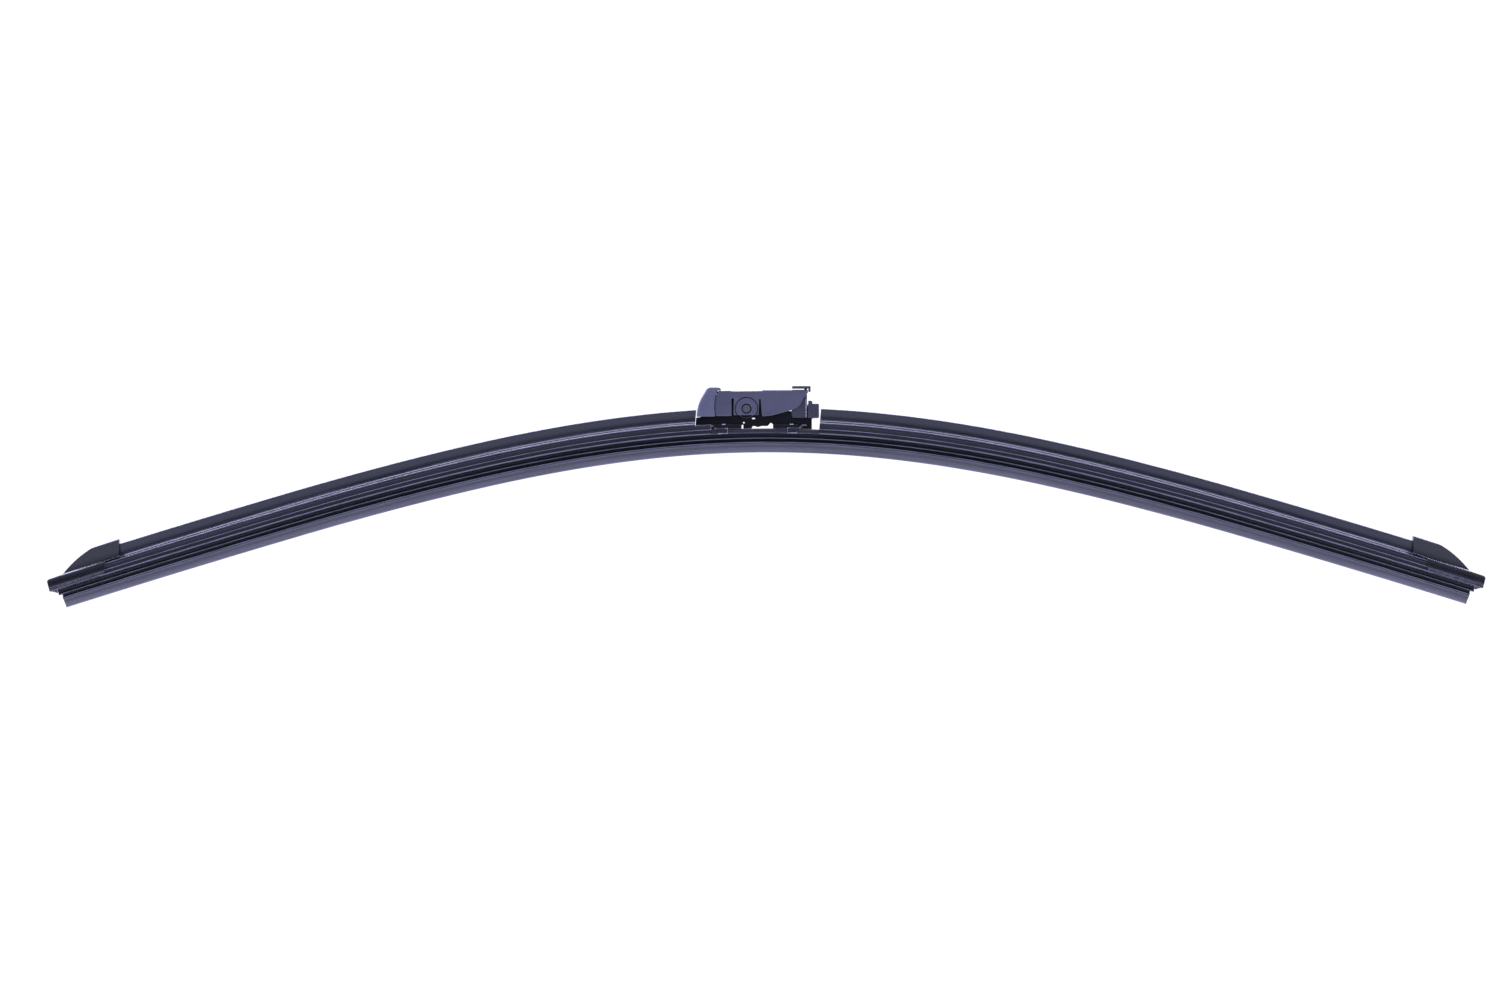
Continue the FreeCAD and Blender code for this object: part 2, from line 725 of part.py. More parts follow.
def latch_spring():
    """Compression spring on the adapter's shelf: half-turns, each in its own tilted plane."""
    low = SPRING_SEAT_Z + SPRING_WIRE_RADIUS + 0.02
    rise = (SPRING_TOP_Z - SPRING_SEAT_Z - 2 * SPRING_WIRE_RADIUS - 0.04) / SPRING_HALF_TURNS
    turns = []
    for index in range(SPRING_HALF_TURNS):
        side = 1 if index % 2 else -1
        start = Vector(SPRING_X + side * SPRING_COIL_RADIUS, 0, low + index * rise)
        middle = Vector(SPRING_X, 0, low + (index + 0.5) * rise)
        wire = Part.Face(Part.Wire(Part.makeCircle(SPRING_WIRE_RADIUS, start, ACROSS)))
        turns.append(wire.revolve(middle, (start - middle).cross(ACROSS) * side, 180))
    return fused(turns)


PIECES = {
    "wiper_rubber": wiper_rubber(),
    "spring_rail_front": spring_rail(-1),
    "spring_rail_rear": spring_rail(1),
    "spoiler_left": spoiler_left(),
    "spoiler_right": spoiler_right(),
    "end_cap_left": end_cap(-1),
    "end_cap_right": end_cap(1),
    "end_clip_left": end_frame(end_clip_shape(0.0), -1),
    "end_clip_right": end_frame(end_clip_shape(0.0), 1),
    "rail_clamp_left": rail_clamp(CLAMP_LEFT, CLAMP_ARM_LEFT),
    "rail_clamp_right": rail_clamp(CLAMP_RIGHT, CLAMP_ARM_RIGHT),
    "carrier": carrier(),
    "carrier_rivets": Part.makeCompound(rivets()),
    "tail_cover": tail_cover(),
    "pivot_pin": pivot_pin(),
    "pivot_bush_front": pivot_bush(-1),
    "pivot_bush_rear": pivot_bush(1),
    "adapter_body": adapter_body(),
    "nose_cap": nose_cap(),
    "release_latch": release_latch(),
    "latch_pin": cross_pin(LATCH_PIN_RADIUS, CHEEK_INNER + 0.75, LATCH_PIVOT_X, LATCH_PIVOT_Z),
    "latch_spring": latch_spring(),
}

for name, shape in PIECES.items():
    export(name, shape)
    print(name, "solids", len(shape.Solids), "valid", shape.isValid(), "volume", round(shape.Volume, 1))
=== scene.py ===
"""Looks of the flat-beam windshield wiper blade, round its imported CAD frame.

The row frame is in metres, with +Z away from the glass and its origin on the pivot pin. Sections
across the blade are drawn in millimetres: y across it and t above the wiping lip. Along the arch,
s is the length along the lip from the middle.
"""
import json
import math

import bmesh
import bpy
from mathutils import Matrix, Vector


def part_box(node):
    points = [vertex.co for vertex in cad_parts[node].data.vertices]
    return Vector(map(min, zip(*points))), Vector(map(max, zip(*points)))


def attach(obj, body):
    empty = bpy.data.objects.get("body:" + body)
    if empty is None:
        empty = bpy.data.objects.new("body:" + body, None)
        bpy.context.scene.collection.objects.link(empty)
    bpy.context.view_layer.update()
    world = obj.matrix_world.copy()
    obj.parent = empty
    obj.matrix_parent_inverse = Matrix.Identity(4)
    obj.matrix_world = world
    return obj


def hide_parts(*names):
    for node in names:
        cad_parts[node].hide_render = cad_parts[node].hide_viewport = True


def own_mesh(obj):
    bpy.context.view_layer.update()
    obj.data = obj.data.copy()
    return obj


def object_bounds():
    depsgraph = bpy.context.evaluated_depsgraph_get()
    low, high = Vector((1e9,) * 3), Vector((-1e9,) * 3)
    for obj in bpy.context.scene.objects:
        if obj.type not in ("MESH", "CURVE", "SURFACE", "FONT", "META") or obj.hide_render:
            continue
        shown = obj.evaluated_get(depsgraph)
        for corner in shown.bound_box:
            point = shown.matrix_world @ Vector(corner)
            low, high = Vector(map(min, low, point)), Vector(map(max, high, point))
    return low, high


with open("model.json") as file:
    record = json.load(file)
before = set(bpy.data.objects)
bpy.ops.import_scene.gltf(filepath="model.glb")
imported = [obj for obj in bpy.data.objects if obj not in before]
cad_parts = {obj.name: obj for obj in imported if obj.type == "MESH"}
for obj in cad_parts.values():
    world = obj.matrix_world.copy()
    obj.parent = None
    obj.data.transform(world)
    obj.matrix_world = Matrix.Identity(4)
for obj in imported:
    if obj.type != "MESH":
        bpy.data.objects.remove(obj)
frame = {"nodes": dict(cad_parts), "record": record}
cad_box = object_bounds()

MM = 0.001

# The relaxed arch, as in the CAD source: length along the lip and lip radius, from the middle out.
ARCH = [(50.0, 485.0), (40.0, 590.0), (35.0, 740.0), (40.0, 1150.0), (50.0, 1600.0), (120.0, 5500.0)]
HALF_LENGTH = 325.0
PIVOT_X = -8.75
PIVOT_Z = 19.7
SPOILER_END = HALF_LENGTH - 19.0
HEAD_END = HALF_LENGTH + 1.3     # the rubber's head runs past its lip
LEFT_BASE_END = -24.3            # the left spoiler's base runs on to here under the adapter's nose
LEFT_FIN_CUT = ((-32.45, 7.4), (-31.23, 22.0))     # lines in X and Z that end the spoilers' fins
RIGHT_FIN_CUT = ((23.8, 7.4), (25.2, 22.0))
SWEEP_STEP = 2.5                 # longest stretch between two rings of a swept piece
CUT_SPARE = 3.0                  # how far a fin is swept past its cut
BASE_SPARE = 1.0                 # how far the left spoiler's base is swept past the cut
ROUND_STEPS = 4                  # steps of a section's rounded corner
CORNER_SHARE = 0.48              # most of a side that one of its rounded corners takes
RIDGE_REACH = 0.30               # how far along a section its corners are felt, for the painted highlight and polish on ridges and the painted shade in creases
SWEPT_SHARP = 30                 # degrees over which an edge stays sharp in the shading
REFINED_SHARP = 38
SMALL_SHARP = 40
WIRE_SHARP = 50
ROUND_ABOVE = 28                 # degrees over which a piece's edge is rounded
FLAT_BELOW = 0.6                 # degrees under which two faces of a CAD node are one
WELD = 0.002                     # corners of a CAD node closer than this are one


# ---- the arch and swept pieces ------------------------------------------------------------

def station(s):
    """Lip point at s, in millimetres from the arch's middle, and the slope there in radians."""
    x = z = slope = 0.0
    left = abs(s)
    for length, radius in ARCH:
        turn = min(left, length) / radius
        x += radius * (math.sin(slope + turn) - math.sin(slope))
        z += radius * (math.cos(slope + turn) - math.cos(slope))
        slope += turn
        left -= length
        if left <= 0:
            break
    side = math.copysign(1.0, s)
    return side * x, z, side * slope


def on_arch(s, y, t):
    """Row-frame point at s along the arch, y across it and t above the lip."""
    x, z, slope = station(s)
    across = x + t * math.sin(slope) - PIVOT_X
    height = z + t * math.cos(slope) - PIVOT_Z
    return Vector((across * MM, y * MM, height * MM))


def rounded(points):
    """Polyline through corners (y, t, radius), each with a radius turned by a small curve."""
    line = []
    last = len(points) - 1
    for index, (y, t, radius) in enumerate(points):
        corner = Vector((y, t))
        if radius == 0 or index in (0, last):
            line.append((y, t))
            continue
        before = Vector(points[index - 1][:2]) - corner
        after = Vector(points[index + 1][:2]) - corner
        reach = min(radius, CORNER_SHARE * before.length, CORNER_SHARE * after.length)
        start = corner + before.normalized() * reach
        end = corner + after.normalized() * reach
        for step in range(ROUND_STEPS + 1):
            f = step / ROUND_STEPS
            point = start * (1 - f) ** 2 + corner * (2 * f * (1 - f)) + end * f ** 2
            line.append((point.x, point.y))
    return line


def both_halves(half):
    """Closed loop from the +Y half of a section, listed from its lowest to its highest point."""
    mirror = [(-y, t) for y, t in reversed(half) if y > 0]
    return half + mirror


def bends(loop):
    """How sharply a closed section turns near each point: over 0 on ridges, under 0 in creases."""
    size = len(loop)
    lengths = [math.dist(loop[k], loop[(k + 1) % size]) for k in range(size)]
    turns = []
    for k in range(size):
        (ax, ay), (bx, by), (cx, cy) = loop[k - 1], loop[k], loop[(k + 1) % size]
        cross = (bx - ax) * (cy - by) - (by - ay) * (cx - bx)
        along = (bx - ax) * (cx - bx) + (by - ay) * (cy - by)
        turns.append(math.atan2(cross, along))
    felt = []
    for k in range(size):
        total = turns[k]
        for way in (1, -1):
            place, reach = k, 0.0
            while True:
                reach += lengths[place if way > 0 else place - 1]
                place = (place + way) % size
                if reach >= RIDGE_REACH:
                    break
                total += turns[place] * (1 - reach / RIDGE_REACH)
        felt.append(total)
    return felt


def sweep(name, loop, start, stop, material, slot, body, replaces=(), cut=None, keep=0):
    """Mesh of a section loop carried along the arch, with its flow and bends as attributes.

    With a cut, a line in the design frame's X and Z, only what lies on its keep side in X stays.
    """
    count = max(2, int(math.ceil((stop - start) / SWEEP_STEP)) + 1)
    run = [start + (stop - start) * index / (count - 1) for index in range(count)]
    girth = [0.0]
    for a, b in zip(loop, loop[1:]):
        girth.append(girth[-1] + math.dist(a, b))
    size = len(loop)
    felt = bends(loop)
    work = bmesh.new()
    flow = work.verts.layers.float_vector.new("flow")
    bend = work.verts.layers.float.new("bend")
    rings = []
    for s in run:
        ring = []
        for k, (y, t) in enumerate(loop):
            vert = work.verts.new(on_arch(s, y, t))
            vert[flow] = Vector((s * MM, girth[k] * MM, t * MM))
            vert[bend] = felt[k]
            ring.append(vert)
        rings.append(ring)
    for low, high in zip(rings, rings[1:]):
        for k in range(size):
            work.faces.new((low[k], low[(k + 1) % size], high[(k + 1) % size], high[k]))
    work.faces.new(reversed(rings[0]))
    work.faces.new(rings[-1])
    if cut:
        (low_x, low_z), (high_x, high_z) = cut
        place = Vector(((low_x - PIVOT_X) * MM, 0, (low_z - PIVOT_Z) * MM))
        normal = Vector((high_z - low_z, 0, low_x - high_x)) * keep
        whole = work.verts[:] + work.edges[:] + work.faces[:]
        found = bmesh.ops.bisect_plane(work, geom=whole, dist=1e-7, plane_co=place, plane_no=normal,
                                       clear_inner=True)
        edges = [item for item in found["geom_cut"] if isinstance(item, bmesh.types.BMEdge)]
        bmesh.ops.contextual_create(work, geom=edges)
    mesh = bpy.data.meshes.new(name)
    work.to_mesh(mesh)
    work.free()
    return finished(name, mesh, material, body, replaces, SWEPT_SHARP)


def corner_normals(mesh, least):
    """Normals at the faces' corners that follow the larger faces, so a flat looks flat to its edge.

    A neighbour counts at a face's corner only if the cosine between the two is over least.
    """
    around = [[] for _ in mesh.vertices]
    normals = [face.normal.copy() for face in mesh.polygons]
    areas = [face.area for face in mesh.polygons]
    for face in mesh.polygons:
        for vertex in face.vertices:
            around[vertex].append(face.index)
    corners = []
    for face in mesh.polygons:
        own = normals[face.index]
        for vertex in face.vertices:
            smooth = [k for k in around[vertex] if own.dot(normals[k]) > least]
            total = sum((normals[k] * areas[k] for k in smooth), Vector())
            corners.append(total.normalized() if total.length > 0 else own)
    return corners


def finished(name, mesh, material, body, replaces, sharp):
    """Object for a mesh: outward faces, smooth shading up to a sharp angle, material and body."""
    work = bmesh.new()
    work.from_mesh(mesh)
    bmesh.ops.recalc_face_normals(work, faces=work.faces)
    work.to_mesh(mesh)
    work.free()
    mesh.shade_smooth()
    mesh.set_sharp_from_angle(angle=math.radians(sharp))
    mesh.normals_split_custom_set(corner_normals(mesh, math.cos(math.radians(sharp))))
    piece = bpy.data.objects.new(name, mesh)
    bpy.context.scene.collection.objects.link(piece)
    mesh.materials.append(material)
    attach(piece, body)
    if replaces:
        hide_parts(*replaces)
    return piece


def body_of(node):
    """The body that a CAD node rides on."""
    return next(name for name, nodes in frame["record"]["behaviour"]["bodies"].items() if node in nodes)


def signed_bend(vert):
    """1 on a ridge and -1 in a crease."""
    around = sum((edge.other_vert(vert).co for edge in vert.link_edges), Vector()) / len(vert.link_edges)
    return math.copysign(1.0, vert.normal.dot(vert.co - around))


def edges_to_round(work):
    """Edges whose two faces meet at more than the rounding angle."""
    least = math.radians(ROUND_ABOVE)
    return [edge for edge in work.edges if len(edge.link_faces) == 2 and edge.calc_face_angle(0.0) > least]


def refined(node, width, material):
    """A finer copy of a CAD node, its faces cleaned and its sharp edges rounded by width in mm.

    The middle of each rounding carries the bend attribute, over 0 on ridges and under 0 in creases.
    """
    work = bmesh.new()
    work.from_mesh(frame["nodes"][node].data)
    bend = work.verts.layers.float.new("bend")
    bmesh.ops.remove_doubles(work, verts=work.verts, dist=WELD * MM)
    bmesh.ops.dissolve_limit(work, angle_limit=math.radians(FLAT_BELOW), verts=work.verts,
                             edges=work.edges)
    made = bmesh.ops.bevel(work, geom=edges_to_round(work), offset=width * MM, segments=4, profile=0.5,
                           affect="EDGES", clamp_overlap=False, miter_outer="ARC")
    work.normal_update()
    new_faces = set(made["faces"])
    for vert in made["verts"]:
        if all(face in new_faces for face in vert.link_faces):
            vert[bend] = signed_bend(vert)
    mesh = bpy.data.meshes.new(node + "_fine")
    work.to_mesh(mesh)
    work.free()
    return finished(node + "_fine", mesh, material, body_of(node), (node,), REFINED_SHARP)


# ---- materials ----------------------------------------------------------------------------

# Paler colour on the rubber's ridges: painted highlight, partly polish.
RIDGE_POLISH_AND_HIGHLIGHT = (0.20, 0.20, 0.27)
DUST = (0.22, 0.22, 0.27)
# Paler edge colours for plastic and steel: partly wear, partly painted highlight.
WORN_PLASTIC_AND_HIGHLIGHT = (0.15, 0.15, 0.19)
BARE_STEEL_AND_HIGHLIGHT = (0.42, 0.43, 0.47)
UNDERLIGHT_FADE = (0.2, 3.4)           # heights over which the lip's painted light from below fades out, in mm


class Nodes:
    """Short calls for building one material's node tree. Noise scales are in waves per metre."""

    def __init__(self, name):
        self.material = bpy.data.materials.new(name)
        self.material.use_nodes = True
        self.tree = self.material.node_tree
        self.shader = self.tree.nodes["Principled BSDF"]

    def add(self, kind, **settings):
        node = self.tree.nodes.new(kind)
        for key, value in settings.items():
            setattr(node, key, value)
        return node

    def link(self, a, b):
        self.tree.links.new(a, b)

    def coordinates(self, scale, flow=False):
        """Row-frame position, or the flow attribute along a swept piece, scaled on each axis."""
        if flow:
            source = self.add("ShaderNodeAttribute", attribute_name="flow").outputs["Vector"]
        else:
            source = self.add("ShaderNodeTexCoord").outputs["Object"]
        mapping = self.add("ShaderNodeMapping")
        mapping.inputs["Scale"].default_value = scale
        self.link(source, mapping.inputs["Vector"])
        return mapping.outputs["Vector"]

    def noise(self, scale, detail=3.0, roughness=0.55, flow=False):
        node = self.add("ShaderNodeTexNoise")
        node.inputs["Scale"].default_value = 1.0
        node.inputs["Detail"].default_value = detail
        node.inputs["Roughness"].default_value = roughness
        self.link(self.coordinates(scale, flow), node.inputs["Vector"])
        return node.outputs["Fac"]

    def ramp(self, value, low, high, out_low, out_high):
        """Value mapped from low..high to out_low..out_high, smoothly and clamped."""
        node = self.add("ShaderNodeMapRange", interpolation_type="SMOOTHSTEP")
        self.link(value, node.inputs["Value"])
        limits = {"From Min": low, "From Max": high, "To Min": out_low, "To Max": out_high}
        for key, number in limits.items():
            node.inputs[key].default_value = number
        return node.outputs["Result"]

    def maths(self, operation, a, b):
        node = self.add("ShaderNodeMath", operation=operation)
        for socket, value in zip(node.inputs, (a, b)):
            if isinstance(value, (int, float)):
                socket.default_value = value
            else:
                self.link(value, socket)
        return node.outputs["Value"]

    def mix(self, factor, a, b):
        """Colour between a and b; each is an RGB triple or a socket."""
        node = self.add("ShaderNodeMix", data_type="RGBA")
        self.link(factor, node.inputs[0])
        for socket, value in ((node.inputs[6], a), (node.inputs[7], b)):
            if isinstance(value, tuple):
                socket.default_value = (*value, 1.0)
            else:
                self.link(value, socket)
        return node.outputs[2]

    def bump(self, height, distance, normal=None):
        node = self.add("ShaderNodeBump")
        node.inputs["Distance"].default_value = distance
        self.link(height, node.inputs["Height"])
        if normal:
            self.link(normal, node.inputs["Normal"])
        return node.outputs["Normal"]

    def bend(self):
        """Attribute that is over 0 on ridges and under 0 in creases."""
        return self.add("ShaderNodeAttribute", attribute_name="bend").outputs["Fac"]

    def edge_wear_and_highlight(self):
        """1 on ridges and 0 elsewhere, broken up by noise: where edge wear and painted highlight go."""
        ridges = self.ramp(self.bend(), 0.1, 0.8, 0.0, 1.0)
        return self.maths("MULTIPLY", ridges, self.ramp(self.noise((500, 500, 500)), 0.3, 0.6, 0.35, 1.0))

    def corner_shade(self):
        """1 in inner corners and 0 elsewhere: where shade is painted."""
        return self.ramp(self.bend(), -0.8, -0.1, 1.0, 0.0)

    def finish(self, colour, roughness, normal=None):
        self.link(colour, self.shader.inputs["Base Color"])
        self.link(roughness, self.shader.inputs["Roughness"])
        if normal:
            self.link(normal, self.shader.inputs["Normal"])
        return self.material


def shade(colour, factor):
    """An RGB colour made lighter or darker."""
    return tuple(min(1.0, channel * factor) for channel in colour)


def extrusion_material(name, colour, roughness, streak, dust, painted_underlight=None):
    """Extruded rubber: faint lines along its length, cloudy patches, painted highlight and polish on
    ridges, painted shade in creases.

    The last argument is a paler colour painted on the wiping lip as light from below, fading out up the
    section.
    """
    n = Nodes(name)
    clouds = n.noise((22, 260, 260), 4.0, flow=True)
    lines = n.noise((3, 5200, 5200), 2.0, flow=True)
    tooth = n.noise((5200, 5200, 5200), 2.0)
    specks = n.ramp(n.noise((1500, 2600, 2600), 2.0, flow=True), 0.68, 0.76, 0.0, dust)
    ridges = n.ramp(n.bend(), 0.15, 0.9, 0.0, 1.0)
    crease_shade = n.corner_shade()
    ridge_polish_and_highlight = n.maths("MULTIPLY", ridges, n.ramp(n.noise((90, 900, 900), 4.0, flow=True), 0.3, 0.6, 0.45, 1.0))
    base = n.mix(n.ramp(clouds, 0.3, 0.7, 0.0, 1.0), shade(colour, 0.85), shade(colour, 1.15))
    base = n.mix(n.ramp(lines, 0.42, 0.62, 0.0, streak), base, shade(colour, 1.5))
    # Painted light from below: the lip paler towards its bottom edge.
    if painted_underlight:
        flow = n.add("ShaderNodeAttribute", attribute_name="flow").outputs["Vector"]
        split = n.add("ShaderNodeSeparateXYZ")
        n.link(flow, split.inputs["Vector"])
        underlit = n.ramp(split.outputs["Z"], UNDERLIGHT_FADE[0] * MM, UNDERLIGHT_FADE[1] * MM, 1.0, 0.0)
        underlight_tone = n.mix(n.ramp(clouds, 0.3, 0.7, 0.0, 1.0), shade(painted_underlight, 0.8), shade(painted_underlight, 1.2))
        base = n.mix(underlit, base, underlight_tone)
    # Painted highlight on the ridges, partly polish: a paler colour there.
    base = n.mix(n.maths("MULTIPLY", ridge_polish_and_highlight, 0.55), base, RIDGE_POLISH_AND_HIGHLIGHT)
    # Painted shade: creases darkened towards near black.
    base = n.mix(n.maths("MULTIPLY", crease_shade, 0.85), base, shade(colour, 0.12))
    base = n.mix(specks, base, DUST)
    rough = n.maths("ADD", n.ramp(clouds, 0.3, 0.7, roughness - 0.05, roughness + 0.05),
                    n.ramp(lines, 0.3, 0.7, -0.04, 0.04))
    rough = n.maths("SUBTRACT", rough, n.maths("MULTIPLY", ridge_polish_and_highlight, 0.15))
    return n.finish(base, rough, n.bump(tooth, 0.000006, n.bump(lines, 0.00001)))


def moulded_material(name, colour, roughness, grain, grain_depth, wear_and_highlight):
    """Injection-moulded plastic: spark-eroded grain, uneven gloss, edges paler from wear and painted
    highlight, painted shade in corners.

    grain is in waves per metre and grain_depth in metres.
    """
    n = Nodes(name)
    clouds = n.noise((70, 70, 70), 4.0)
    grit = n.noise((grain, grain, grain), 3.0, 0.7)
    scuffs = n.ramp(n.noise((240, 1500, 240), 4.0), 0.62, 0.72, 0.0, 0.5)
    base = n.mix(n.ramp(clouds, 0.3, 0.7, 0.0, 1.0), shade(colour, 0.88), shade(colour, 1.12))
    base = n.mix(n.ramp(grit, 0.35, 0.7, 0.0, 0.35), base, shade(colour, 1.4))
    # Edge wear and painted highlight: a paler colour on the ridges.
    base = n.mix(n.maths("MULTIPLY", n.edge_wear_and_highlight(), wear_and_highlight), base, WORN_PLASTIC_AND_HIGHLIGHT)
    # Painted shade: inner corners darkened.
    base = n.mix(n.maths("MULTIPLY", n.corner_shade(), 0.8), base, shade(colour, 0.15))
    rough = n.maths("ADD", n.ramp(clouds, 0.3, 0.7, roughness - 0.05, roughness + 0.05),
                    n.maths("MULTIPLY", scuffs, 0.12))
    return n.finish(base, rough, n.bump(grit, grain_depth))


def steel_material(name, colour, roughness, metallic, wear_and_highlight):
    """Steel strip: rolling lines along X, small pits, and edges paler from bare metal and painted
    highlight.
    """
    n = Nodes(name)
    rolled = n.noise((120, 4200, 4200), 3.0)
    pits = n.noise((2200, 2200, 2200), 2.0)
    base = n.mix(n.ramp(rolled, 0.3, 0.7, 0.0, 1.0), shade(colour, 0.8), shade(colour, 1.2))
    # Bare metal and painted highlight: a paler colour on the edges.
    base = n.mix(n.maths("MULTIPLY", n.edge_wear_and_highlight(), wear_and_highlight), base, BARE_STEEL_AND_HIGHLIGHT)
    rough = n.ramp(rolled, 0.25, 0.75, roughness - 0.08, roughness + 0.08)
    n.shader.inputs["Metallic"].default_value = metallic
    return n.finish(base, rough, n.bump(pits, 0.000008, n.bump(rolled, 0.000006)))


RUBBER = extrusion_material("wiping rubber", (0.012, 0.012, 0.018), 0.48, streak=0.3, dust=0.4,
                            painted_underlight=(0.105, 0.098, 0.122))
SPOILER = extrusion_material("spoiler elastomer", (0.011, 0.012, 0.020), 0.25, streak=0.2, dust=0.12)
CAP = moulded_material("satin cap plastic", (0.006, 0.006, 0.009), 0.20,
                       grain=1800, grain_depth=0.0000015, wear_and_highlight=0.5)
TAIL = moulded_material("tail cover plastic", (0.033, 0.033, 0.050), 0.40,
                        grain=3000, grain_depth=0.000008, wear_and_highlight=0.7)
ADAPTER = moulded_material("grained adapter plastic", (0.064, 0.064, 0.094), 0.42,
                           grain=3200, grain_depth=0.00001, wear_and_highlight=0.6)
NOSE = moulded_material("nose cap plastic", (0.108, 0.110, 0.158), 0.36,
                        grain=3200, grain_depth=0.000008, wear_and_highlight=0.6)
LATCH = moulded_material("latch plastic", (0.036, 0.037, 0.052), 0.38,
                         grain=3200, grain_depth=0.000008, wear_and_highlight=0.6)
# Near-black with weak specular: partly the carrier's own black, partly painted shade under the adapter.
CARRIER = moulded_material("dark carrier plastic", (0.003, 0.003, 0.005), 0.40,
                           grain=2600, grain_depth=0.00001, wear_and_highlight=0.5)
CARRIER.node_tree.nodes["Principled BSDF"].inputs["Specular IOR Level"].default_value = 0.2
RAIL = steel_material("coated spring steel", (0.014, 0.015, 0.024), 0.36, metallic=0.0, wear_and_highlight=0.4)
BLACK_STEEL = steel_material("blackened steel", (0.022, 0.023, 0.032), 0.30, metallic=0.3, wear_and_highlight=0.8)
PIN = steel_material("phosphated pin steel", (0.075, 0.078, 0.10), 0.40, metallic=0.0, wear_and_highlight=0.3)
BRIGHT_STEEL = steel_material("zinc-plated steel", (0.55, 0.56, 0.60), 0.28, metallic=1.0, wear_and_highlight=0.2)


# ---- sections, +Y halves: (y, t, corner radius) in millimetres -------------------------------

RUBBER_LIP = [
    (0, 0, 0),
    (0.35, 0, 0.06),
    (0.50, 1.5, 0.9),
    (2.32, 4.05, 0.5),
    (2.25, 4.28, 0.08),
    (2.60, 4.45, 0.10),
    (2.65, 4.70, 0.10),
    (2.05, 5.05, 0.12),
    (1.4, 5.2, 0.15),
    (0.5, 5.32, 0.12),
]
RUBBER_HEAD = [
    (0.5, 6.13, 0.12),
    (3.25, 6.28, 0.12),
    (3.55, 6.42, 0.08),
    (3.55, 6.56, 0.08),
    (2.95, 6.93, 0.15),
    (1.7, 7.2, 0.15),
    (1.7, 8.3, 0.2),
    (2.7, 8.68, 0.12),
    (2.7, 9.15, 0.04),
    (1.0, 9.15, 0.04),
    (1.0, 10.35, 0.04),
    (2.6, 10.35, 0.05),
    (2.6, 10.68, 0.12),
    (2.35, 10.8, 0.12),
    (0, 10.8, 0),
]
CHANNEL_HALF = [
    (0, 10.85, 0),
    (2.7, 10.85, 0.05),
    (2.7, 10.35, 0.05),
    (5.35, 10.35, 0.1),
    (5.35, 9.15, 0.1),
    (3.9, 9.15, 0.08),
    (3.9, 8.7, 0.12),
]
SPOILER_BASE_HALF = [
    (5.7, 8.70, 0.15),
    (6.1, 8.95, 0.12),
    (6.15, 9.18, 0.08),
    (5.65, 9.48, 0.12),
    (5.6, 10.4, 0.15),
    (6.15, 10.72, 0.10),
    (6.25, 10.98, 0.10),
    (5.65, 11.38, 0.12),
    (5.55, 12.6, 0.3),
]
SPOILER_FIN_FOOT = [
    (6.3, 13.3, 0.2),
    (6.55, 13.50, 0.10),
    (6.52, 13.72, 0.10),
    (5.75, 14.08, 0.12),
    (5.42, 14.20, 0.06),
    (5.35, 14.5, 0.08),
]
FIN_FACE = ((5.35, 14.5), (3.0, 16.65), (1.5, 19.75))          # three points of its hollow arc
FIN_FACE_STEPS = 18
SPOILER_CREST = [
    (1.5, 19.75, 0),
    (1.5, 20.05, 0.1),
    (1.3, 20.22, 0.12),
    (0.9, 20.3, 0.15),
    (0, 20.3, 0),
]
BASE_TOP = [                     # of a spoiler's base where it runs on without its fin
    (6.2, 13.2, 0.2),
    (0, 13.2, 0),
]


def arc(start, middle, end, steps):
    """Points of the circle from start through middle to end, without its first point."""
    (ax, ay), (bx, by), (cx, cy) = start, middle, end
    a, b, c = (x**2 + y**2 for x, y in (start, middle, end))
    scale = 2 * (ax * (by - cy) + bx * (cy - ay) + cx * (ay - by))
    centre_x = (a * (by - cy) + b * (cy - ay) + c * (ay - by)) / scale
    centre_y = (a * (cx - bx) + b * (ax - cx) + c * (bx - ax)) / scale
    radius = math.dist((centre_x, centre_y), start)
    first = math.atan2(ay - centre_y, ax - centre_x)
    last = math.atan2(cy - centre_y, cx - centre_x)
    turn = (last - first + math.pi) % (2 * math.pi) - math.pi
    angles = [first + turn * (k + 1) / steps for k in range(steps)]
    return [(centre_x + radius * math.cos(angle), centre_y + radius * math.sin(angle)) for angle in angles]


def spoiler_loop(fin):
    """Spoiler section, with its fin or cut off at its base."""
    if not fin:
        return both_halves(rounded(CHANNEL_HALF + SPOILER_BASE_HALF + BASE_TOP))
    lower = rounded(CHANNEL_HALF + SPOILER_BASE_HALF + SPOILER_FIN_FOOT)
    return both_halves(lower + arc(*FIN_FACE, FIN_FACE_STEPS) + rounded(SPOILER_CREST)[1:])


# ---- small pieces of the adapter, in millimetres ---------------------------------------------

SPRING_WIRE = 0.28               # radius
SPRING_TURNS = 4.5
SPRING_CLOSED = 0.75             # turns lying flat at each end
STEPS_PER_TURN = 36
WIRE_SIDES = 12
LEAF_OUTLINE = [                 # X and Z in the design frame
    (17.85, 16.1),
    (18.5, 16.1),
    (18.5, 24.1),
    (18.2, 24.3),
    (17.85, 24.0),
]
LEAF_FACES = (5.08, 5.28)        # its inner and outer distance from the middle
LEAF_EDGE = 0.05
PIN_PROFILE = [                  # radius, and height over the pin's end
    (1.75, -0.25),
    (1.68, -0.10),
    (1.55, 0.0),
    (1.12, 0.0),
    (1.02, -0.12),
    (0.92, -0.12),
    (0.82, 0.0),
    (0.35, 0.0),
    (0.05, -0.2),
]
PIN_STEPS = 48


def tube_faces(stretches, sides):
    """Faces of a closed tube whose rings of corners are numbered one after the other."""
    faces = []
    for first in range(0, stretches * sides, sides):
        for k in range(sides):
            after = (k + 1) % sides
            faces.append((first + k, first + after, first + sides + after, first + sides + k))
    faces.append(tuple(range(sides)))
    faces.append(tuple(range(stretches * sides, (stretches + 1) * sides)))
    return faces


